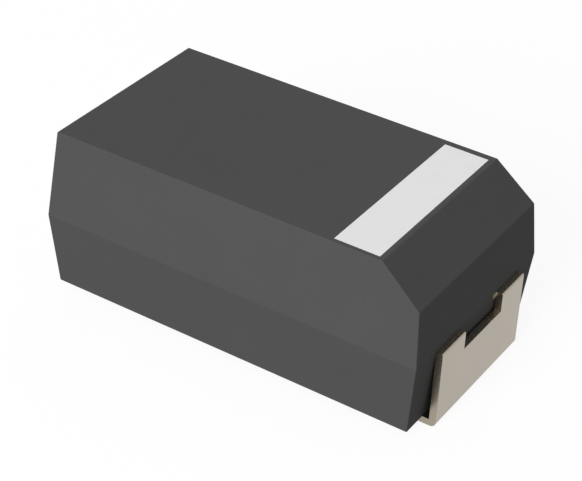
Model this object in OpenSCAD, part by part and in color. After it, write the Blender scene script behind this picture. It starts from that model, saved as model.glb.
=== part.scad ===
// Moulded tantalum chip capacitor, surface mounted.
// Frame: seating plane of the feet at z = 0, +X towards the anode end, Y across the part.

/* [Case] */
// Length over the outer faces of the two terminals
overall_l = 6.0; // [5.7:0.1:6.5]
// Width of the case across the parting line
case_w = 3.2; // [3.0:0.1:3.6]
// Height from the seating plane to the top of the case
overall_h = 2.5; // [2.4:0.1:2.9]
// Height of the parting line above the seating plane
parting_z = 1.2; // [1.1:0.05:1.3]
// Height of the case's underside above the seating plane
standoff = 0.1; // [0.1:0.01:0.14]
// Mould draft above and below the parting line, in degrees
draft = 5; // [3:1:7]
// Height of the polarity bevel
bevel_h = 0.5; // [0.4:0.05:0.65]
// Distance of the bevel's upper edge from the end of the parting line
bevel_run = 0.66; // [0.5:0.02:0.8]

/* [Glue pad] */
// Length of the raised pad under the case
glue_pad_l = 2.8; // [2.4:0.1:3.0]
// Width of the raised pad
glue_pad_w = 2.4; // [2.0:0.1:2.6]
// How far the pad stands out of the underside
glue_pad_h = 0.05; // [0.03:0.01:0.08]

/* [Polarity stripe] */
// Length of the stripe along the part
stripe_l = 0.66; // [0.5:0.02:0.8]
// Plain margin between the stripe and the bevel's upper edge
stripe_gap = 0.075; // [0.05:0.005:0.2]
// Mean margin between the stripe and the top's side edges
stripe_margin = 0.091; // [0.05:0.001:0.2]
// Sideways offset of the stripe from the middle of the case
stripe_shift = -0.018; // [-0.04:0.002:0.04]
// Thickness of the marking layer, flush with the top
stripe_t = 0.02; // [0.01:0.01:0.05]

/* [Terminals] */
// Width of the terminal strip
strip_w = 2.2; // [2.0:0.05:2.4]
// Thickness of the terminal strip
strip_t = 0.1; // [0.08:0.01:0.13]
// Length of each foot, from the outer face of its end plate
foot_l = 1.3; // [1.0:0.05:1.5]
// Outer radius of the bend between end plate and foot
foot_bend_r = 0.085; // [0.05:0.005:0.1]
// Outer radius of the bend between end plate and tab
tab_bend_r = 0.02; // [0.01:0.005:0.05]
// Width of the cut-out in the anode end plate
cutout_w = 1.0; // [0.8:0.05:1.2]
// Height of the cut-out's floor above the seating plane
cutout_z = 0.905; // [0.7:0.005:1.0]

/* [Anode tab] */
// Length of the tab inside the case
tab_l = 0.95; // [0.85:0.05:1.15]
// Length of the tab's window inside the case
window_l = 0.35; // [0.25:0.05:0.4]
// How far the window stops short of the cut-out's +Y side
window_step = 0.08; // [0.04:0.01:0.12]

/* [Cathode shelf] */
// Length of the cathode shoulder inside the case, up to the riser
shoulder_l = 0.5; // [0.4:0.05:0.6]
// Width of the riser and of the shelf under the element
shelf_w = 1.7; // [1.4:0.05:1.9]
// Length of the shelf, from the riser's outer face
shelf_l = 2.9; // [2.4:0.1:3.2]
// Inner radius of the bends inside the case
inner_bend_r = 0.05; // [0.03:0.01:0.08]

/* [Element] */
// Epoxy above the element
top_wall = 0.4; // [0.3:0.05:0.5]
// Epoxy beside the element, at its upper edges
side_wall = 0.32; // [0.25:0.01:0.45]
// Epoxy under the cathode shelf
floor_wall = 0.36; // [0.25:0.01:0.4]
// Epoxy between the element and the cathode riser
end_wall = 0.25; // [0.15:0.05:0.4]
// Distance from the case's anode end to the pellet's wire face
wire_face_in = 1.65; // [1.5:0.05:1.9]
// Chamfer along the pellet's edges
pellet_chamfer = 0.12; // [0.06:0.01:0.2]

/* [Wire and washer] */
// Diameter of the anode wire
wire_d = 0.4; // [0.3:0.02:0.5]
// Depth of the wire's groove in the tab
wire_seat = 0.05; // [0.02:0.01:0.07]
// Length of wire that is welded to the tab
weld_l = 0.5; // [0.3:0.05:0.55]
// Length of wire buried in the pellet
wire_depth = 2.0; // [1.5:0.1:2.6]
// Outer diameter of the washer
washer_d = 0.9; // [0.7:0.05:1.1]
// Thickness of the washer
washer_t = 0.2; // [0.1:0.05:0.3]

/* [Coats] */
// Thickness of the manganese dioxide
dioxide_t = 0.04; // [0.02:0.01:0.06]
// Thickness of the graphite
graphite_t = 0.02; // [0.01:0.01:0.03]
// Thickness of the silver
silver_t = 0.04; // [0.02:0.01:0.06]
// How far the graphite stops short of the pellet's wire face
graphite_back = 0.15; // [0.1:0.05:0.3]
// How far the silver stops short of the graphite's edge
silver_back = 0.15; // [0.1:0.05:0.3]
// Thickness of the silver adhesive
adhesive_t = 0.04; // [0.02:0.01:0.06]
// Margin of bare shelf round the adhesive
adhesive_margin = 0.1; // [0.05:0.05:0.3]

/* [Hidden] */
$fn = 48;
over = 1;                                     // how far a cutting tool runs past a face

outer_x = overall_l / 2;                      // outer face of an end plate
case_x = outer_x - strip_t;                   // end of the case at the parting line
case_y = case_w / 2;
bevel_x = case_x - bevel_run;                 // upper edge of the bevel
bevel_z = overall_h - bevel_h;                // lower edge of the bevel
function inset(z) = abs(z - parting_z) * tan(draft);
top_y = case_y - inset(overall_h);            // side edges of the top face
stripe_w = 2 * (top_y - stripe_margin);

tab_z = parting_z - strip_t;                  // underside of both tabs
tab_x = case_x - tab_l;                       // inner end of the anode tab
window_w = cutout_w - window_step;
wire_z = parting_z + wire_d / 2 - wire_seat;
wire_end_x = tab_x + weld_l;

graphite_out = dioxide_t + graphite_t;        // outer face of each coat, from the pellet's faces
silver_out = graphite_out + silver_t;
riser_x = -case_x + shoulder_l;               // outer face of the cathode riser
shelf_z = standoff + floor_wall;              // underside of the shelf
pellet_x0 = riser_x + strip_t + end_wall + silver_out;
pellet_x1 = case_x - wire_face_in;
pellet_z0 = shelf_z + strip_t + adhesive_t + silver_out;
pellet_z1 = overall_h - top_wall - silver_out;
pellet_y = case_y - inset(pellet_z1 + silver_out) - side_wall - silver_out;
graphite_x = pellet_x1 - graphite_back;
silver_x = graphite_x - silver_back;
adhesive_x0 = pellet_x0 + pellet_chamfer;     // rear and front edges of the bond
adhesive_x1 = riser_x + shelf_l - adhesive_margin;
adhesive_w = shelf_w - 2 * adhesive_margin;

epoxy = [0.27, 0.27, 0.275];
tin = [0.69, 0.66, 0.61];

// A side profile, drawn as [x, z] and centred on y = 0
module across(width) {
    rotate([90, 0, 0]) linear_extrude(height = width, center = true) children();
}

// What rounds a corner at the origin of the first quadrant: cut from an outer corner, added to an inner
module spandrel(r) {
    difference() {
        square(r);
        translate([r, r]) circle(r = r);
    }
}

// ---- case ----

// Drafted block: the side profile with its bevel, crossed with the end profile
module case_block() {
    low_in = inset(standoff);
    intersection() {
        across(2 * case_w) polygon([
            [-case_x + low_in, standoff], [case_x - low_in, standoff],
            [case_x, parting_z], [case_x - inset(bevel_z), bevel_z],
            [bevel_x, overall_h], [-case_x + inset(overall_h), overall_h],
            [-case_x, parting_z]
        ]);
        rotate([90, 0, 90]) linear_extrude(height = 2 * overall_l, center = true) polygon([
            [-case_y + low_in, standoff], [case_y - low_in, standoff],
            [case_y, parting_z], [top_y, overall_h],
            [-top_y, overall_h], [-case_y, parting_z]
        ]);
    }
}

// The pad reaches up into the case, so that the two are one solid
module glue_pad() {
    translate([-glue_pad_l / 2, -glue_pad_w / 2, standoff - glue_pad_h])
        cube([glue_pad_l, glue_pad_w, 2 * glue_pad_h]);
}

module case() {
    color(epoxy) difference() {
        union() {
            case_block();
            glue_pad();
        }
        stripe_layer();
        anode_strip();
        cathode_strip();
        wire_rod();
        washer_disc();
        slug(dioxide_t, pellet_x1 + dioxide_t);
        slug(graphite_out, graphite_x);
        slug(silver_out, silver_x);
        adhesive_bond();
    }
}

module stripe_layer() {
    translate([bevel_x - stripe_gap - stripe_l, stripe_shift - stripe_w / 2, overall_h - stripe_t])
        cube([stripe_l, stripe_w, stripe_t]);
}

module polarity_stripe() {
    color([0.87, 0.87, 0.87]) stripe_layer();
}

// ---- terminals ----

// Side profile of an end plate with its foot and a tab of the given length inside the case
module end_profile(inner_l) {
    difference() {
        union() {
            translate([outer_x - foot_l, 0]) square([foot_l, strip_t]);
            translate([case_x, 0]) square([strip_t, parting_z]);
            translate([case_x - inner_l, tab_z]) square([inner_l + strip_t, strip_t]);
        }
        translate([outer_x, 0]) mirror([1, 0]) spandrel(foot_bend_r);
        translate([outer_x, parting_z]) rotate(180) spandrel(tab_bend_r);
    }
}

module anode_strip() {
    difference() {
        across(strip_w) end_profile(tab_l);
        translate([case_x, -cutout_w / 2, cutout_z])
            cube([strip_t + over, cutout_w, parting_z - cutout_z + over]);
        translate([case_x - window_l, -cutout_w / 2, tab_z - strip_t])
            cube([window_l + over, window_w, strip_t + over]);
        wire_rod();
    }
}

module anode_terminal() {
    color(tin) anode_strip();
}

// The cathode tab narrows half way along its shoulder, turns down, then runs flat under the element
module shelf_profile() {
    bend_r = inner_bend_r + strip_t;
    difference() {
        union() {
            translate([-case_x, tab_z]) square([shoulder_l, strip_t]);
            translate([riser_x, shelf_z]) square([strip_t, parting_z - shelf_z]);
            translate([riser_x, shelf_z]) square([shelf_l, strip_t]);
            translate([riser_x + strip_t, shelf_z + strip_t]) spandrel(inner_bend_r);
            translate([riser_x, tab_z]) rotate(180) spandrel(inner_bend_r);
        }
        translate([riser_x, shelf_z]) spandrel(bend_r);
        translate([riser_x + strip_t, parting_z]) rotate(180) spandrel(bend_r);
    }
}

module cathode_strip() {
    across(strip_w) mirror([1, 0]) end_profile(shoulder_l / 2);
    across(shelf_w) shelf_profile();
}

module cathode_terminal() {
    color(tin) cathode_strip();
}

// ---- element ----

// Rectangle from [x0, y0] to [x1, y1], with its corners chamfered
module chamfered(x0, y0, x1, y1, c) {
    polygon([
        [x0 + c, y0], [x1 - c, y0], [x1, y0 + c], [x1, y1 - c],
        [x1 - c, y1], [x0 + c, y1], [x0, y1 - c], [x0, y0 + c]
    ]);
}

// The pellet's own form, grown evenly by a coat and cut off square at front_x
module slug(grow, front_x) {
    c = pellet_chamfer + grow * (2 - sqrt(2));   // keeps the coat as thick on the chamfers
    x0 = pellet_x0 - grow;
    x1 = pellet_x1 + grow;
    half_w = pellet_y + grow;
    z0 = pellet_z0 - grow;
    z1 = pellet_z1 + grow;
    intersection() {
        across(2 * half_w) chamfered(x0, z0, x1, z1, c);
        linear_extrude(height = overall_h) chamfered(x0, -half_w, x1, half_w, c);
        rotate([90, 0, 90]) linear_extrude(height = overall_l, center = true)
            chamfered(-half_w, z0, half_w, z1, c);
        translate([x0, -half_w, z0]) cube([front_x - x0, 2 * half_w, z1 - z0]);
    }
}

module wire_rod() {
    translate([pellet_x1 - wire_depth, 0, wire_z]) rotate([0, 90, 0])
        cylinder(d = wire_d, h = wire_end_x - pellet_x1 + wire_depth);
}

module washer_disc() {
    translate([pellet_x1, 0, wire_z]) rotate([0, 90, 0]) cylinder(d = washer_d, h = washer_t);
}

module adhesive_bond() {
    translate([adhesive_x0, -adhesive_w / 2, shelf_z + strip_t])
        cube([adhesive_x1 - adhesive_x0, adhesive_w, adhesive_t]);
}

module anode_pellet() {
    color([0.35, 0.35, 0.38]) difference() {
        slug(0, pellet_x1);
        wire_rod();
    }
}

module anode_wire() {
    color([0.62, 0.63, 0.66]) wire_rod();
}

module wire_washer() {
    color([0.93, 0.93, 0.9]) difference() {
        washer_disc();
        wire_rod();
    }
}

module manganese_dioxide_coat() {
    color([0.16, 0.15, 0.15]) difference() {
        slug(dioxide_t, pellet_x1 + dioxide_t);
        slug(0, pellet_x1);
        washer_disc();
    }
}

module graphite_coat() {
    color([0.1, 0.1, 0.11]) difference() {
        slug(graphite_out, graphite_x);
        slug(dioxide_t, pellet_x1 + dioxide_t);
    }
}

module silver_coat() {
    color([0.78, 0.78, 0.8]) difference() {
        slug(silver_out, silver_x);
        slug(graphite_out, graphite_x);
    }
}

module silver_adhesive() {
    color([0.66, 0.66, 0.68]) adhesive_bond();
}

case();
polarity_stripe();
anode_terminal();
cathode_terminal();
anode_pellet();
anode_wire();
wire_washer();
manganese_dioxide_coat();
graphite_coat();
silver_coat();
silver_adhesive();
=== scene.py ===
import bmesh
import bpy
import math
from mathutils import Matrix, Vector


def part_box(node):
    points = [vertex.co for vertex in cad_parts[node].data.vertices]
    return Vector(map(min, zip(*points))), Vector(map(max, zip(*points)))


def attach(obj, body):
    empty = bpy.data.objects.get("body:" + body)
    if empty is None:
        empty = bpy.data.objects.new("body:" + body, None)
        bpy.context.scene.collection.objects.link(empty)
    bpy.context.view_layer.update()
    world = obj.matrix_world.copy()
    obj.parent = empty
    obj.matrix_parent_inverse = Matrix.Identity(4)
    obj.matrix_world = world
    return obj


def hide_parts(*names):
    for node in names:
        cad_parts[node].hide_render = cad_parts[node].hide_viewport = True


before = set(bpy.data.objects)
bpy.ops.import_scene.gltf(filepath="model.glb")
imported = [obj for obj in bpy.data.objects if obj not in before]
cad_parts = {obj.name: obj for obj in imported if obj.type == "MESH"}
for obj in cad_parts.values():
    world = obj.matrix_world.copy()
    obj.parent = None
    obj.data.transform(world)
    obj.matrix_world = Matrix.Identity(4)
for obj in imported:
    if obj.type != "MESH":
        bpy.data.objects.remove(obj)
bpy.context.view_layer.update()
print("frame loaded:", len(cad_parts), "solids")

mm = 0.001                                     # shapes are drawn in millimetres and settle in metres


def cadSize(node):
    low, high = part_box(node)
    return Vector(low) / mm, Vector(high) / mm


caseLow, caseHigh = cadSize("case")
anodeLow, anodeHigh = cadSize("anode_terminal")
cathodeLow, cathodeHigh = cadSize("cathode_terminal")
wireLow, wireHigh = cadSize("anode_wire")
washerLow, washerHigh = cadSize("wire_washer")
stripeLow, stripeHigh = cadSize("polarity_stripe")
strip = anodeHigh.x - caseHigh.x               # thickness of the terminal strip
parting = anodeHigh.z                          # the tabs' tops lie in the parting plane


class Spot:                                    # one output socket: arithmetic on it adds Math nodes
    def __init__(self, bench, socket):
        self.bench = bench
        self.socket = socket

    def calc(self, operation, *others):
        return self.bench.put("ShaderNodeMath", {"operation": operation}, dict(enumerate((self, *others))))

    def __add__(self, other):
        return self.calc("ADD", other)

    def __sub__(self, other):
        return self.calc("SUBTRACT", other)

    def __rsub__(self, other):
        return self.bench.put("ShaderNodeMath", {"operation": "SUBTRACT"}, {0: other, 1: self})

    def __mul__(self, other):
        return self.calc("MULTIPLY", other)

    __radd__ = __add__
    __rmul__ = __mul__


class Bench:                                   # puts nodes into one tree
    def __init__(self, tree):
        self.tree = tree

    def plug(self, socket, value):
        for one in value if isinstance(value, list) else [value]:
            if isinstance(one, Spot):
                self.tree.links.new(one.socket, socket)
            else:
                socket.default_value = one

    def put(self, kind, settings=None, values=None, out=0):
        node = self.tree.nodes.new(kind)
        for name, value in (settings or {}).items():
            setattr(node, name, value)
        for name, value in (values or {}).items():
            self.plug(node.inputs[name], value)
        return Spot(self, node.outputs[out])

    def point(self, x, y, z):
        return self.put("ShaderNodeCombineXYZ", {}, {"X": x, "Y": y, "Z": z})

    def stretch(self, vector, scale):
        return self.put("ShaderNodeVectorMath", {"operation": "MULTIPLY"}, {0: vector, 1: scale})

    def place(self):                           # object coordinates, in millimetres
        coords = self.put("ShaderNodeTexCoord", out="Object")
        return self.stretch(coords, (1 / mm,) * 3)

    def cloud(self, place, perMm, detail=2.0, rough=0.5):
        values = {"Vector": place, "Scale": perMm, "Detail": detail, "Roughness": rough}
        return self.put("ShaderNodeTexNoise", {}, values, out="Fac")

    def tint(self, colour, shade):             # a colour made lighter or darker by a number
        grey = self.put("ShaderNodeCombineColor", {}, {"Red": shade, "Green": shade, "Blue": shade})
        return self.put("ShaderNodeMix", {"data_type": "RGBA", "blend_type": "MULTIPLY"},
                        {"Factor": 1.0, 6: (*colour, 1.0), 7: grey}, out=2)

    def blend(self, mask, first, second):
        return self.put("ShaderNodeMix", {"data_type": "RGBA"}, {0: mask, 6: first, 7: second}, out=2)

    def relief(self, height, deep):            # deep is in millimetres
        return self.put("ShaderNodeBump", {}, {"Height": height, "Distance": deep * mm, "Strength": 1.0})


def newFinish(name):
    material = bpy.data.materials.new(name)
    material.use_nodes = True
    tree = material.node_tree
    return material, Bench(tree), tree.nodes["Principled BSDF"]


def setFinish(bench, shader, **values):
    for name, value in values.items():
        bench.plug(shader.inputs[name], value)


mouldedEpoxyLook = {
    "colour": (0.065, 0.065, 0.0648),
    "lowerHalfPaintedShade": 0.951,                        # painted shade: the case below the parting plane is darkened to this share of its colour
    "cloudPerMm": 1.7, "cloudShade": 0.1, "fillerPerMm": 55, "fillerShade": 0.16,
    "roughness": 0.74, "roughSpread": 0.12, "specular": 0.04, "grainPerMm": 34, "grainDeep": 0.0016,
}


def mouldedEpoxy():
    look = mouldedEpoxyLook
    material, bench, shader = newFinish("mouldedEpoxy")
    place = bench.place()
    cloud = bench.cloud(place, look["cloudPerMm"], detail=3.0)
    filler = bench.cloud(place, look["fillerPerMm"], detail=1.0)
    shade = 1 + (cloud - 0.5) * look["cloudShade"] + (filler - 0.5) * look["fillerShade"]
    height = bench.put("ShaderNodeSeparateXYZ", {}, {"Vector": place}, out="Z")
    # painted shade: below the parting plane the colour is darkened by the lower-half factor
    upper = height.calc("GREATER_THAN", parting)
    shade = shade * (upper * (1 - look["lowerHalfPaintedShade"]) + look["lowerHalfPaintedShade"])
    grain = bench.cloud(place, look["grainPerMm"], detail=3.0, rough=0.6)
    setFinish(bench, shader, **{
        "Base Color": bench.tint(look["colour"], shade),
        "Roughness": look["roughness"] + (cloud + grain - 1) * look["roughSpread"],
        "Specular IOR Level": look["specular"],
        "Normal": bench.relief(grain, look["grainDeep"]),
    })
    return material


terminalTinLook = {
    "colour": (0.364, 0.326, 0.27), "warm": (0.35, 0.303, 0.238), "patchPerMm": 1.3,
    "roughness": 0.2, "roughSpread": 0.1,
    "rollPerMm": 26, "rollAlong": 0.06, "rollDeep": 0.0006, "crystalPerMm": 38, "crystalDeep": 0.0005,
    "shearedColour": (0.36, 0.315, 0.25),      # the stamped faces are warmer,
    "shearedRoughness": 0.075,                 # rougher by this much,
    "shearedCalm": 0.85,                       # and without this share of the crystals and rolling marks
}


def terminalTin():
    look = terminalTinLook
    material, bench, shader = newFinish("terminalTin")
    place = bench.place()
    along = look["rollAlong"]                  # the marks run along the strip, whichever way it is folded
    roll = bench.cloud(bench.stretch(place, (along, 1.0, along)), look["rollPerMm"])
    crystal = bench.cloud(place, look["crystalPerMm"], rough=0.6)
    patch = bench.cloud(place, look["patchPerMm"])
    sheared = bench.put("ShaderNodeAttribute", {"attribute_name": "sheared"}, out="Fac")
    tin = bench.blend(patch, (*look["colour"], 1.0), (*look["warm"], 1.0))
    calm = 1 - sheared * look["shearedCalm"]
    rough = look["roughness"] + (roll + crystal - 1) * calm * look["roughSpread"]
    setFinish(bench, shader, **{
        "Base Color": bench.blend(sheared, tin, (*look["shearedColour"], 1.0)),
        "Metallic": 1.0,
        "Roughness": rough + sheared * look["shearedRoughness"],
        "Normal": bench.relief((roll * look["rollDeep"] + crystal * look["crystalDeep"]) * calm, 1.0),
    })
    return material


stripeInkLook = {
    "colour": (0.715, 0.713, 0.714), "mottlePerMm": 6, "mottle": 0.04, "grainPerMm": 45, "grain": 0.07,
    "roughness": 0.5, "roughSpread": 0.2, "specular": 0.18, "grainDeep": 0.001,
}


def stripeInk():
    look = stripeInkLook
    material, bench, shader = newFinish("stripeInk")
    place = bench.place()
    mottle = bench.cloud(place, look["mottlePerMm"])
    grain = bench.cloud(place, look["grainPerMm"])
    shade = 1 + (mottle - 0.5) * look["mottle"] + (grain - 0.5) * look["grain"]
    setFinish(bench, shader, **{
        "Base Color": bench.tint(look["colour"], shade),
        "Roughness": look["roughness"] + (grain - 0.5) * look["roughSpread"],
        "Specular IOR Level": look["specular"],
        "Normal": bench.relief(grain, look["grainDeep"]),
    })
    return material


innerGrain = {"roughSpread": 0.2, "broader": 8}          # shared by all the sealed pieces
innerLooks = {
    "sinteredTantalum": {"colour": (0.2, 0.2, 0.22), "grainPerMm": 30, "grain": 0.5, "deep": 0.006,
                         "roughness": 0.55, "metal": 0.8},
    "washerPolymer": {"colour": (0.8, 0.8, 0.74), "grainPerMm": 12, "grain": 0.06, "deep": 0.001,
                      "roughness": 0.42, "metal": 0.0},
    "manganeseDioxide": {"colour": (0.03, 0.028, 0.027), "grainPerMm": 36, "grain": 0.8, "deep": 0.004,
                         "roughness": 0.8, "metal": 0.0},
    "graphitePaste": {"colour": (0.022, 0.022, 0.024), "grainPerMm": 18, "grain": 0.5, "deep": 0.002,
                      "roughness": 0.5, "metal": 0.0},
    "silverPaint": {"colour": (0.6, 0.6, 0.6), "grainPerMm": 22, "grain": 0.3, "deep": 0.002,
                    "roughness": 0.48, "metal": 0.9},
    "silverEpoxy": {"colour": (0.5, 0.5, 0.5), "grainPerMm": 14, "grain": 0.4, "deep": 0.003,
                    "roughness": 0.4, "metal": 0.7},
}


def innerFinish(name):                         # one recipe for them all, grainy in tone and relief
    look = innerLooks[name]
    material, bench, shader = newFinish(name)
    place = bench.place()
    grain = bench.cloud(place, look["grainPerMm"], detail=4.0, rough=0.6)
    broad = bench.cloud(place, look["grainPerMm"] / innerGrain["broader"])
    setFinish(bench, shader, **{
        "Base Color": bench.tint(look["colour"], 1 + (grain + broad - 1) * look["grain"]),
        "Metallic": look["metal"],
        "Roughness": look["roughness"] + (grain - 0.5) * innerGrain["roughSpread"],
        "Normal": bench.relief(grain, look["deep"]),
    })
    return material


tantalumWireLook = {
    "colour": (0.42, 0.42, 0.45), "drawPerMm": 40, "drawAlong": 0.03, "drawDeep": 0.001, "drawShade": 0.2,
    "roughness": 0.3, "roughSpread": 0.2,
}


def tantalumWire():
    look = tantalumWireLook
    material, bench, shader = newFinish("tantalumWire")
    drawn = bench.stretch(bench.place(), (look["drawAlong"], 1.0, 1.0))      # die marks run along X
    draw = bench.cloud(drawn, look["drawPerMm"])
    setFinish(bench, shader, **{
        "Base Color": bench.tint(look["colour"], 1 + (draw - 0.5) * look["drawShade"]),
        "Metallic": 1.0,
        "Roughness": look["roughness"] + (draw - 0.5) * look["roughSpread"],
        "Normal": bench.relief(draw, look["drawDeep"]),
    })
    return material


finishes = {name: innerFinish(name) for name in innerLooks}
for make in (mouldedEpoxy, terminalTin, stripeInk, tantalumWire):
    finishes[make.__name__] = make()
print("finishes made:", len(finishes))


def sizeTree(name, sizes, groups=()):          # a Geometry Nodes tree with one named input for each size
    tree = bpy.data.node_groups.new(name, "GeometryNodeTree")
    tree.interface.new_socket("Shape", in_out="INPUT", socket_type="NodeSocketGeometry")
    tree.interface.new_socket("Shape", in_out="OUTPUT", socket_type="NodeSocketGeometry")
    for label in sizes:
        tree.interface.new_socket(label, in_out="INPUT", socket_type="NodeSocketFloat")
    for label in groups:
        tree.interface.new_socket(label, in_out="INPUT", socket_type="NodeSocketCollection")
    bench = Bench(tree)
    door = tree.nodes.new("NodeGroupInput")
    return tree, bench, {socket.name: Spot(bench, socket) for socket in door.outputs if socket.name}


def closeTree(bench, shape, finish):
    whole = bench.put("GeometryNodeRealizeInstances", {}, {0: shape})
    painted = bench.put("GeometryNodeSetMaterial", {}, {"Geometry": whole, "Material": finish})
    exitNode = bench.tree.nodes.new("NodeGroupOutput")
    bench.plug(exitNode.inputs[0], painted)


def newPiece(name):
    piece = bpy.data.objects.new(name, bpy.data.meshes.new(name))
    bpy.context.scene.collection.objects.link(piece)
    return piece


def freeze(piece):                             # modifiers become plain mesh
    graph = bpy.context.evaluated_depsgraph_get()
    mesh = bpy.data.meshes.new_from_object(piece.evaluated_get(graph))
    piece.modifiers.clear()
    piece.data = mesh
    return piece


def runTree(piece, tree, sizes):               # the sizes go in by socket identifier
    modifier = piece.modifiers.new("shape", "NODES")
    modifier.node_group = tree
    for item in tree.interface.items_tree:
        if item.in_out == "INPUT" and item.name in sizes:
            value = sizes[item.name]
            modifier[item.identifier] = value if isinstance(value, bpy.types.Collection) else float(value)
    return freeze(piece)


joinWithin = 1e-5                              # corners closer than this are one
flatWithin = 0.5                               # faces within this many degrees are one
bevelFrom = 30                                 # edges turning by more degrees than this are rounded
sharpFrom = 35                                 # and by more than this they are shaded as sharp


def cleaned(piece, flatAngle=flatWithin):      # doubles merged, coplanar triangles joined, faces outward
    work = bmesh.new()
    work.from_mesh(piece.data)
    bmesh.ops.remove_doubles(work, verts=work.verts, dist=joinWithin)
    bmesh.ops.dissolve_limit(work, angle_limit=math.radians(flatAngle), verts=work.verts, edges=work.edges)
    bmesh.ops.recalc_face_normals(work, faces=work.faces)
    work.to_mesh(piece.data)
    work.free()
    return piece


def rounded(piece, radius, segments):
    bevel = piece.modifiers.new("edges", "BEVEL")
    bevel.width = radius
    bevel.segments = segments
    bevel.limit_method = "ANGLE"
    bevel.angle_limit = math.radians(bevelFrom)
    bevel.use_clamp_overlap = True
    return freeze(piece)


def carved(piece, group):                      # every piece of the group is taken away in one go
    cut = piece.modifiers.new("carve", "BOOLEAN")
    cut.operation = "DIFFERENCE"
    cut.solver = "EXACT"
    cut.operand_type = "COLLECTION"
    cut.collection = group
    return freeze(piece)


def grouped(name, pieces):                     # a scratch collection of cutting shapes
    group = bpy.data.collections.new(name)
    for piece in pieces:
        group.objects.link(piece)
    return group


def boxPiece(name, low, high):
    piece = newPiece(name)
    work = bmesh.new()
    bmesh.ops.create_cube(work, size=1.0)
    for vert in work.verts:
        vert.co = [a + (b - a) * (c + 0.5) for a, b, c in zip(low, high, vert.co)]
    work.to_mesh(piece.data)
    work.free()
    return piece


def turned(name, profile, centre, sides=64):   # profile of (x, radius), spun about a line along X
    piece = newPiece(name)
    work = bmesh.new()
    rings = []
    for x, radius in profile:
        angles = [2 * math.pi * i / sides for i in range(sides)]
        spots = [(x, centre[0] + radius * math.cos(a), centre[1] + radius * math.sin(a)) for a in angles]
        rings.append([work.verts.new(spot) for spot in spots])
    for first, second in zip(rings, rings[1:]):
        for i in range(sides):
            j = (i + 1) % sides
            work.faces.new((first[i], first[j], second[j], second[i]))
    if profile[0] != profile[-1]:
        work.faces.new(rings[0])
        work.faces.new(rings[-1])
    bmesh.ops.remove_doubles(work, verts=work.verts, dist=joinWithin)
    bmesh.ops.recalc_face_normals(work, faces=work.faces)
    work.to_mesh(piece.data)
    work.free()
    return piece


hullFlat = 0.05                                # a hull's faces within this many degrees are joined


def hullOf(name, source, scale=1.0):           # a filled outline of a mesh, to cut with
    piece = newPiece(name)
    work = bmesh.new()
    for vert in source.vertices:
        work.verts.new(vert.co * scale)
    bmesh.ops.remove_doubles(work, verts=work.verts, dist=joinWithin)
    made = bmesh.ops.convex_hull(work, input=work.verts)
    spare = {one for key in ("geom_interior", "geom_unused") for one in made[key]}
    spareVerts = [one for one in spare if isinstance(one, bmesh.types.BMVert)]
    bmesh.ops.delete(work, geom=spareVerts, context="VERTS")
    work.to_mesh(piece.data)
    work.free()
    return cleaned(piece, hullFlat)


def creased(piece, level):                     # edges at this height stay crisp, right round the corners
    atLevel = [abs(vert.co.z - level) < 10 * joinWithin for vert in piece.data.vertices]
    for edge in piece.data.edges:
        if all(atLevel[i] for i in edge.vertices):
            edge.use_edge_sharp = True


def settle(piece, finish, slot, *nodes, crease=None):    # smooths, scales, paints and hands over a piece
    for face in piece.data.polygons:
        face.use_smooth = True
    piece.data.set_sharp_from_angle(angle=math.radians(sharpFrom))
    if crease is not None:
        creased(piece, crease)
    weigh = piece.modifiers.new("flats", "WEIGHTED_NORMAL")
    weigh.keep_sharp = True
    freeze(piece)
    piece.data.transform(Matrix.Scale(mm, 4))
    piece.data.materials.clear()
    piece.data.materials.append(finishes[finish])
    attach(piece, "root")
    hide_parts(*nodes)
    print(piece.name, "settled:", len(piece.data.polygons), "faces")


scraps = []                                    # cutting shapes that go before the frame is closed


caseMould = {
    "sizes": {
        "Length": caseHigh.x - caseLow.x, "Width": caseHigh.y - caseLow.y, "Top": caseHigh.z,
        "Parting": parting, "Standoff": 0.1, "Draft": 5.0, "Bevel Height": 0.5, "Bevel Run": 0.66,
        "Pad Length": 2.8, "Pad Width": 2.4, "Pad Bottom": caseLow.z, "Pad Root": 0.2,
    },
    "edge": 0.014, "edgeSteps": 3,
    "flat": 0.02,                              # once carved, faces within this many degrees are joined
}


def caseTree():
    tree, bench, ask = sizeTree("draftedCase", caseMould["sizes"])
    slope = (ask["Draft"] * (math.pi / 180)).calc("TANGENT")

    def section(z, front=None):                # a level outline of the cavity; front replaces its anode end
        inset = (z - ask["Parting"]).calc("ABSOLUTE") * slope
        end = ask["Length"] * 0.5 - inset
        front = end if front is None else front
        width = ask["Width"] - inset * 2
        flat = bench.put("GeometryNodeMeshGrid", {}, {"Size X": end + front, "Size Y": width,
                                                      "Vertices X": 2, "Vertices Y": 2})
        spot = bench.point((front - end) * 0.5, 0.0, z)
        return bench.put("GeometryNodeTransform", {}, {"Geometry": flat, "Translation": spot})

    sections = [
        section(ask["Standoff"]), section(ask["Parting"]), section(ask["Top"] - ask["Bevel Height"]),
        section(ask["Top"], ask["Length"] * 0.5 - ask["Bevel Run"]),
    ]
    levels = bench.put("GeometryNodeJoinGeometry", {}, {0: sections[::-1]})
    block = bench.put("GeometryNodeConvexHull", {}, {0: levels})
    padTop = ask["Standoff"] + ask["Pad Root"]               # the pad is rooted inside the block
    padSize = bench.point(ask["Pad Length"], ask["Pad Width"], padTop - ask["Pad Bottom"])
    pad = bench.put("GeometryNodeMeshCube", {}, {"Size": padSize})
    padSpot = bench.point(0.0, 0.0, (padTop + ask["Pad Bottom"]) * 0.5)
    pad = bench.put("GeometryNodeTransform", {}, {"Geometry": pad, "Translation": padSpot})
    whole = bench.put("GeometryNodeMeshBoolean", {"operation": "UNION", "solver": "EXACT"},
                      {"Mesh 2": [block, pad]})
    closeTree(bench, whole, finishes["mouldedEpoxy"])
    return tree


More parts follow.
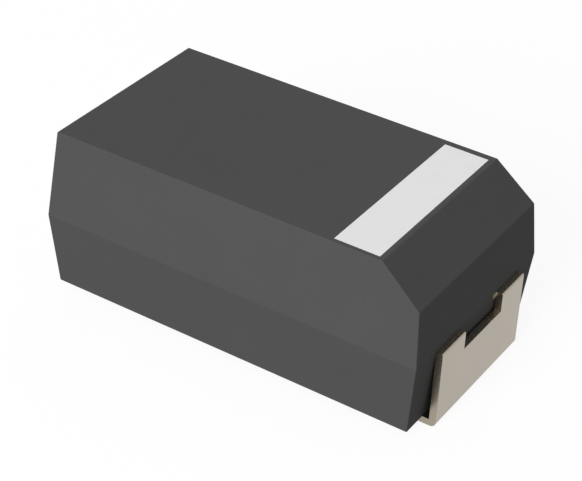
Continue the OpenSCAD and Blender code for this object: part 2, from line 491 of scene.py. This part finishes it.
caseBlock = runTree(newPiece("mouldedCase"), caseTree(), caseMould["sizes"])
rounded(cleaned(caseBlock), caseMould["edge"], caseMould["edgeSteps"])
print("case block formed")


bothStrips = {
    "footBend": 0.085, "tabBend": 0.02, "innerBend": 0.05, "arcPoints": 10, "edge": 0.005, "edgeSteps": 2,
    "sink": 0.025, "sinkFrom": 0.045, "sinkTo": 0.02,        # a little dip where the strip leaves the case
    "over": 0.5,                               # how far a cutting box stands over what it cuts
    "faceTurn": 0.7,                           # a face turned further than this sideways or up was stamped
}


def stripTree():
    tree, bench, ask = sizeTree("foldedStrip", ["Strip Width", "Arc Points"], ["Cutters"])
    outline = bench.put("GeometryNodeMeshToCurve", {}, {"Mesh": ask["Shape"]})
    radius = bench.put("GeometryNodeInputNamedAttribute", {"data_type": "FLOAT"}, {"Name": "bendRadius"})
    bent = bench.put("GeometryNodeFilletCurve", {"mode": "POLY"},
                     {"Curve": outline, "Count": ask["Arc Points"], "Radius": radius, "Limit Radius": True})
    side = bench.put("GeometryNodeFillCurve", {"mode": "NGONS"}, {"Curve": bent})
    across = bench.point(0.0, 0.0, ask["Strip Width"])
    sweep = bench.put("GeometryNodeExtrudeMesh", {"mode": "FACES"},
                      {"Mesh": side, "Offset": across, "Offset Scale": 1.0, "Individual": False})
    base = bench.put("GeometryNodeFlipFaces", {}, {"Mesh": side})
    both = bench.put("GeometryNodeJoinGeometry", {}, {0: [sweep, base]})
    closed = bench.put("GeometryNodeMergeByDistance", {}, {"Geometry": both, "Distance": joinWithin})
    halfBack = bench.point(0.0, ask["Strip Width"] * 0.5, 0.0)
    upright = bench.put("GeometryNodeTransform", {}, {"Geometry": closed, "Translation": halfBack,
                                                      "Rotation": (math.pi / 2, 0.0, 0.0)})
    cutters = bench.put("GeometryNodeCollectionInfo", {"transform_space": "ORIGINAL"},
                        {"Collection": ask["Cutters"], "Separate Children": True})
    cut = bench.put("GeometryNodeMeshBoolean", {"operation": "DIFFERENCE", "solver": "EXACT"},
                    {"Mesh 1": upright, "Mesh 2": cutters})
    closeTree(bench, cut, finishes["terminalTin"])
    return tree


def stripOutline(name, corners):               # corners of (x, z, outer or inner bend radius), drawn flat
    piece = newPiece(name)
    count = len(corners)
    spots = [(x, z, 0.0) for x, z, radius in corners]
    piece.data.from_pydata(spots, [(i, (i + 1) % count) for i in range(count)], [])
    bend = piece.data.attributes.new("bendRadius", "FLOAT", "POINT")
    bend.data.foreach_set("value", [radius for x, z, radius in corners])
    return piece


foldedStrip = stripTree()
stripWidth = anodeHigh.y - anodeLow.y


def foldStrip(name, corners, cutters):         # folds the strip along its corners and cuts it
    scraps.extend(cutters)
    sizes = {"Strip Width": stripWidth, "Arc Points": bothStrips["arcPoints"],
             "Cutters": grouped(name + "Cutters", cutters)}
    return cleaned(runTree(stripOutline(name, corners), foldedStrip, sizes))


def markSheared(piece):                        # marks the stamped side faces and the edges that look up
    marks = piece.data.attributes.new("sheared", "FLOAT", "FACE")
    turns = [max(abs(face.normal.y), face.normal.z) for face in piece.data.polygons]
    marks.data.foreach_set("value", [float(turn > bothStrips["faceTurn"]) for turn in turns])
    return piece


def settleStrip(piece, node):
    rounded(piece, bothStrips["edge"], bothStrips["edgeSteps"])
    settle(markSheared(piece), "terminalTin", "tinned_alloy", node)


anodeStrip = {"cutout": 1.0, "cutoutFloor": 0.905, "window": 0.35, "windowStep": 0.08, "tab": 0.95}


def anodeTerminal():
    size, both = anodeStrip, bothStrips
    outer, inner = anodeHigh.x, caseHigh.x
    dip = parting - both["sink"]
    tabEnd = inner - size["tab"]
    corners = [
        (anodeLow.x, 0.0, 0.0), (outer, 0.0, both["footBend"]), (outer, dip, both["tabBend"]),
        (inner - both["sinkTo"], dip, 0.0), (inner - both["sinkFrom"], parting, 0.0),
        (tabEnd, parting, 0.0), (tabEnd, parting - strip, 0.0),
        (inner, parting - strip, 0.0), (inner, strip, 0.0), (anodeLow.x, strip, 0.0),
    ]
    half = size["cutout"] / 2
    over = parting + both["over"]
    cutout = boxPiece("cutoutBox", (inner, -half, size["cutoutFloor"]), (outer + both["over"], half, over))
    window = boxPiece("windowBox", (inner - size["window"], -half, parting - 2 * strip),
                      (inner + strip / 2, half - size["windowStep"], over))
    return foldStrip("anodeTerminal", corners, [cutout, window])


cathodeStrip = {"shoulder": 0.5, "shelfWidth": 1.7, "shelfLow": 0.46, "neckOverFoot": 0.1}


def cathodeTerminal():
    size, both = cathodeStrip, bothStrips
    outer, inner = cathodeLow.x, caseLow.x
    dip = parting - both["sink"]
    riser = inner + size["shoulder"]
    shelf = size["shelfLow"]
    turn = both["innerBend"] + strip
    footEnd = -anodeLow.x
    corners = [
        (footEnd, 0.0, 0.0), (outer, 0.0, both["footBend"]), (outer, dip, both["tabBend"]),
        (inner + both["sinkTo"], dip, 0.0), (inner + both["sinkFrom"], parting, 0.0),
        (riser + strip, parting, turn), (riser + strip, shelf + strip, both["innerBend"]),
        (cathodeHigh.x, shelf + strip, 0.0), (cathodeHigh.x, shelf, 0.0), (riser, shelf, turn),
        (riser, parting - strip, both["innerBend"]), (inner, parting - strip, 0.0), (inner, strip, 0.0),
        (footEnd, strip, 0.0),
    ]
    neck = inner + size["shoulder"] / 2        # the strip narrows here, inside the case
    near, far = size["shelfWidth"] / 2, stripWidth / 2 + both["over"]
    low, end, over = strip + size["neckOverFoot"], cathodeHigh.x + both["over"], parting + both["over"]
    sides = [boxPiece("sideBox", (neck, back, low), (end, front, over))
             for back, front in ((-far, -near), (near, far))]
    return foldStrip("cathodeTerminal", corners, sides)


wireCentre = (0.0, (wireLow.z + wireHigh.z) / 2)
wireRadius = (wireHigh.z - wireLow.z) / 2
wireEnd = {"chamfer": 0.03}


def anodeWire():
    cut = wireEnd["chamfer"]
    profile = [(wireLow.x, wireRadius - cut), (wireLow.x + cut, wireRadius),
               (wireHigh.x - cut, wireRadius), (wireHigh.x, wireRadius - cut)]
    return turned("anodeWire", profile, wireCentre)


washerEdge = {"chamfer": 0.02}


def wireWasher():
    cut = washerEdge["chamfer"]
    outer = (washerHigh.z - washerLow.z) / 2
    back, front = washerLow.x, washerHigh.x
    profile = [(back, wireRadius), (back, outer - cut), (back + cut, outer), (front - cut, outer),
               (front, outer - cut), (front, wireRadius), (back, wireRadius)]
    return turned("wireWasher", profile, wireCentre)


stripeEdge = {"radius": 0.004, "steps": 2}


def polarityStripe():
    slab = boxPiece("polarityStripe", stripeLow, stripeHigh)
    return rounded(slab, stripeEdge["radius"], stripeEdge["steps"])


wire = anodeWire()
washer = wireWasher()
anode = anodeTerminal()
cathode = cathodeTerminal()
stripe = polarityStripe()
print("terminals folded")

filled = ("silver_coat", "graphite_coat", "manganese_dioxide_coat", "silver_adhesive", "polarity_stripe")
hulls = [hullOf(node + "Hull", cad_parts[node].data, 1 / mm) for node in filled]
hulls.append(hullOf("washerHull", washer.data))
scraps.extend(hulls)
carved(caseBlock, grouped("contents", [*hulls, anode, cathode, wire]))
carved(anode, grouped("seat", [wire]))         # the wire lies in a shallow seat in the tab
print("case carved round what it holds")

settle(cleaned(caseBlock, caseMould["flat"]), "mouldedEpoxy", "moulded_epoxy", "case", crease=parting)
settleStrip(anode, "anode_terminal")
settleStrip(cathode, "cathode_terminal")
settle(stripe, "stripeInk", "marking", "polarity_stripe")
settle(wire, "tantalumWire", "tantalum_wire", "anode_wire")
settle(washer, "washerPolymer", "washer_polymer", "wire_washer")

for scrap in scraps:
    bpy.data.objects.remove(scrap)

cadFinishes = {                                # the sealed pieces stay as the solids they are
    "anode_pellet": "sinteredTantalum", "manganese_dioxide_coat": "manganeseDioxide",
    "graphite_coat": "graphitePaste", "silver_coat": "silverPaint", "silver_adhesive": "silverEpoxy",
}
for node, finish in cadFinishes.items():
    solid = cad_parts[node]
    solid.data.materials.clear()
    solid.data.materials.append(finishes[finish])
print("sealed pieces finished")


def whiteForSight(bench):                      # 1 where the background is seen or mirrored, otherwise 0
    path = bench.tree.nodes.new("ShaderNodeLightPath")
    rays = ("Is Camera Ray", "Is Glossy Ray", "Is Transmission Ray")
    camera, glossy, clear = [Spot(bench, path.outputs[ray]) for ray in rays]
    return camera.calc("MAXIMUM", glossy).calc("MAXIMUM", clear)


floorLook = {
    "half": 0.6, "colour": 0.97, "white": 1.0,
    "bounce": 0.36,                            # what the floor throws back at the object
    "shadow": 0.1,                             # the share of its shadow that shows,
    "clear": 9.0, "gone": 30.0,                # which fades out between these distances
}


def makeFloor():
    look = floorLook
    piece = newPiece("floor")
    corners = [(x * look["half"], y * look["half"], 0) for x, y in ((-1, -1), (1, -1), (1, 1), (-1, 1))]
    piece.data.from_pydata(corners, [], [(0, 1, 2, 3)])
    material = bpy.data.materials.new("paleFloor")
    material.use_nodes = True
    tree = material.node_tree
    tree.nodes.clear()
    bench = Bench(tree)
    sight = whiteForSight(bench)
    away = bench.put("ShaderNodeVectorMath", {"operation": "LENGTH"}, {0: bench.place()}, out="Value")
    keeps = bench.put("ShaderNodeMapRange", {"interpolation_type": "SMOOTHSTEP"},
                      {"Value": away, "From Min": look["clear"], "From Max": look["gone"],
                       "To Min": look["shadow"], "To Max": 0.0})
    grey = look["colour"]
    matt = bench.put("ShaderNodeBsdfDiffuse", {}, {"Color": (grey, grey, grey, 1.0)})
    strength = sight * (look["white"] - look["bounce"]) + look["bounce"]
    glow = bench.put("ShaderNodeEmission", {}, {"Color": (1.0, 1.0, 1.0, 1.0), "Strength": strength})
    both = bench.put("ShaderNodeMixShader", {}, {0: 1 - sight * keeps, 1: matt, 2: glow})
    exitNode = tree.nodes.new("ShaderNodeOutputMaterial")
    tree.links.new(both.socket, exitNode.inputs["Surface"])
    piece.data.materials.append(material)


worldLook = {"ambient": 0.467, "white": 1.0}


def makeWorld():
    world = bpy.data.worlds.new("studio")
    world.use_nodes = True
    tree = world.node_tree
    bench = Bench(tree)
    mask = whiteForSight(bench)
    strength = mask * (worldLook["white"] - worldLook["ambient"]) + worldLook["ambient"]
    back = tree.nodes["Background"]
    bench.plug(back.inputs["Color"], (1.0, 1.0, 1.0, 1.0))
    bench.plug(back.inputs["Strength"], strength)
    bpy.context.scene.world = world


lamps = {
    "frontPanel": {"way": (0.0, -1.0, 0.5), "far": 0.12, "size": 0.06, "power": 0.164},
    "leftPanel": {"way": (-1.0, 0.1, 0.1), "far": 0.12, "size": 0.04, "power": 0.06},
    "backPanel": {"way": (-0.25, 1.0, 0.05), "far": 0.12, "size": 0.04, "power": 0.06},
}


def makeLamps():
    aim = Vector((0.0, 0.0, caseHigh.z / 2 * mm))
    for name, look in lamps.items():
        data = bpy.data.lights.new(name, "AREA")
        data.shape = "SQUARE"
        data.size = look["size"]
        data.energy = look["power"]
        lamp = bpy.data.objects.new(name, data)
        way = Vector(look["way"]).normalized()
        lamp.location = aim + way * look["far"]
        lamp.rotation_euler = way.to_track_quat("Z", "Y").to_euler()
        bpy.context.scene.collection.objects.link(lamp)


cameraLook = {
    "spot": (0.010944, -0.017767, 0.015209), "azimuth": 31.5854, "elevation": 34.0918, "roll": -2.9165,
    "lens": 114.686, "sensor": 36.0, "nearest": 0.001, "furthest": 5.0,
}


def makeCamera():
    look = cameraLook
    data = bpy.data.cameras.new("camera")
    data.lens = look["lens"]
    data.sensor_width = look["sensor"]
    data.clip_start = look["nearest"]
    data.clip_end = look["furthest"]
    camera = bpy.data.objects.new("camera", data)
    azimuth, elevation = math.radians(look["azimuth"]), math.radians(look["elevation"])
    turn = Matrix.Rotation(azimuth, 4, "Z") @ Matrix.Rotation(math.pi / 2 - elevation, 4, "X")
    turn = turn @ Matrix.Rotation(-math.radians(look["roll"]), 4, "Z")
    camera.matrix_world = Matrix.Translation(look["spot"]) @ turn
    bpy.context.scene.collection.objects.link(camera)
    bpy.context.scene.camera = camera


makeFloor()
makeWorld()
makeLamps()
makeCamera()
bpy.context.scene.view_settings.view_transform = "Standard"
print("studio set")
